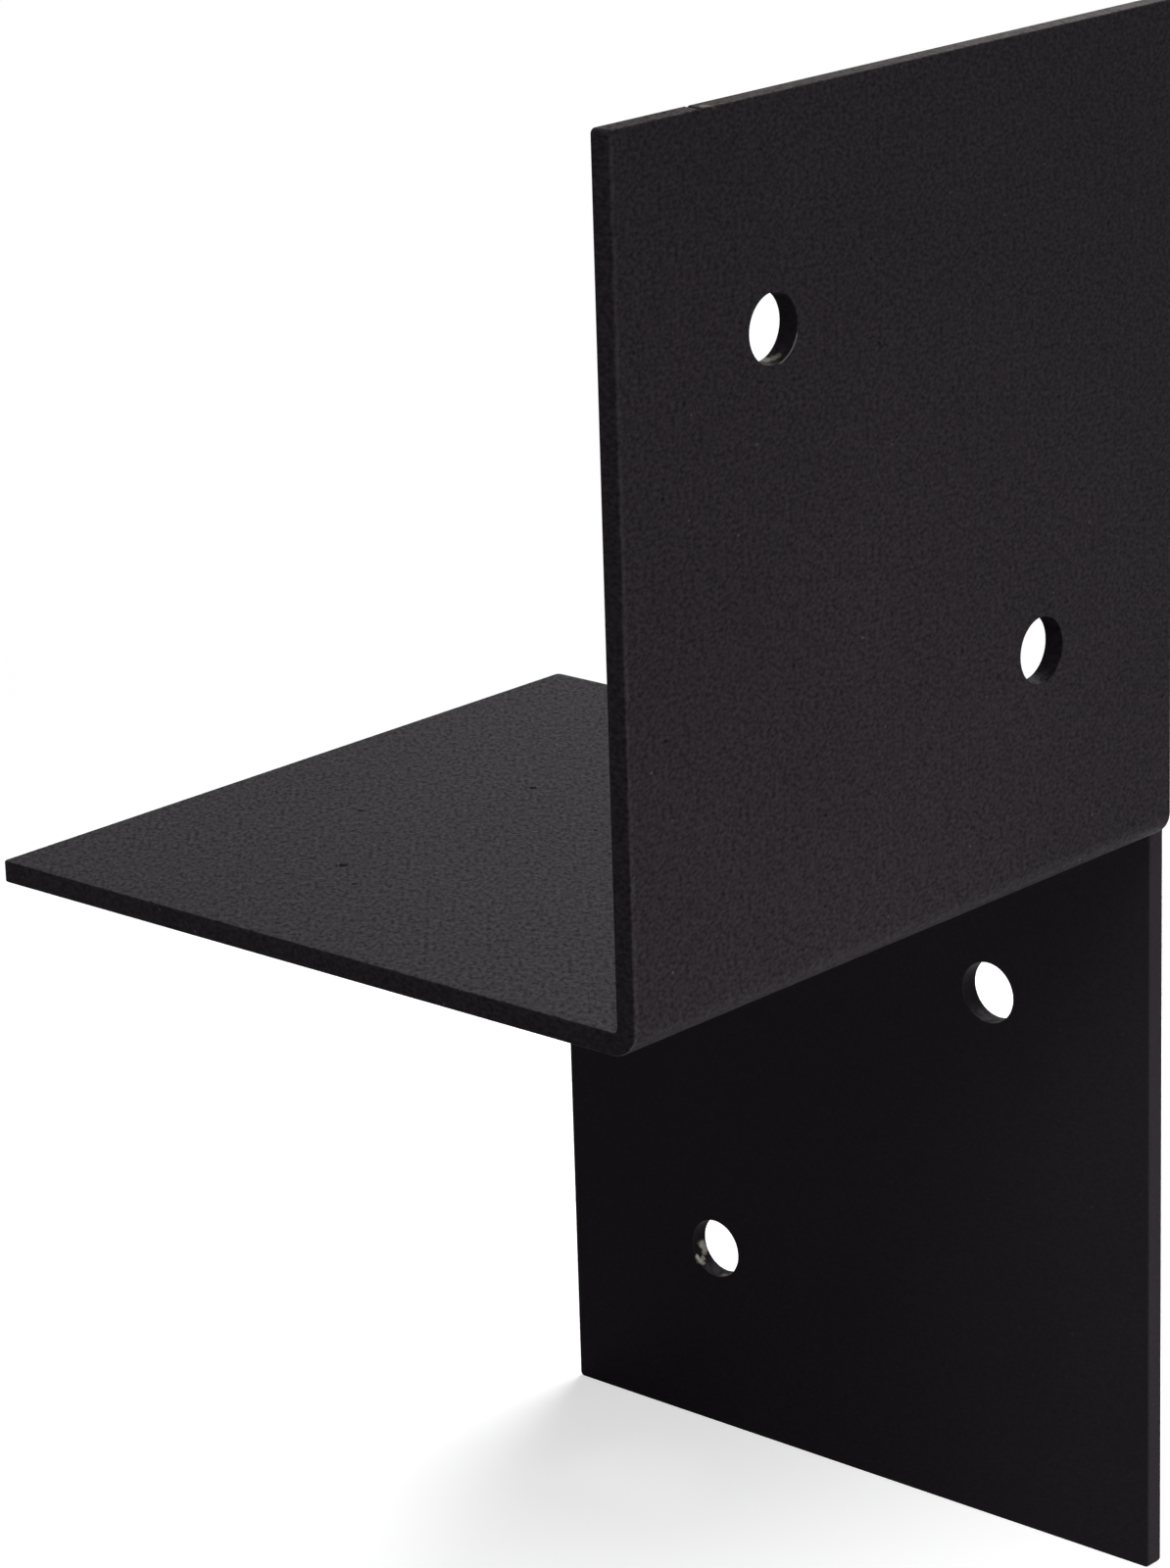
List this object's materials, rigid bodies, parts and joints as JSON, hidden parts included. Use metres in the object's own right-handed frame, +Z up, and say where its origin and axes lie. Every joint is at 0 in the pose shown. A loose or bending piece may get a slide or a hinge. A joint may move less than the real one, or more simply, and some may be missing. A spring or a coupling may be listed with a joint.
{
  "type": "beam wall bracket",
  "caption": "Black powder-coated steel bracket: a square shelf folded up beside a beam and down against a wall, with bolt holes in both flanges.",
  "frame": {"origin": "midway between the two wall holes, on the plane of the wall, which is the wall flange's back face", "axes": "+Y into the wall, +X along the wall towards the beam flange, +Z up"},
  "size_m": [0.1, 0.1, 0.1974],
  "materials": {
    "black_powder_coat": "fine-textured black powder coat, satin to matt, thin on the cut edges"
  },
  "bodies": {
    "root": {"bracket": "black_powder_coat"}
  },
  "joints": []
}
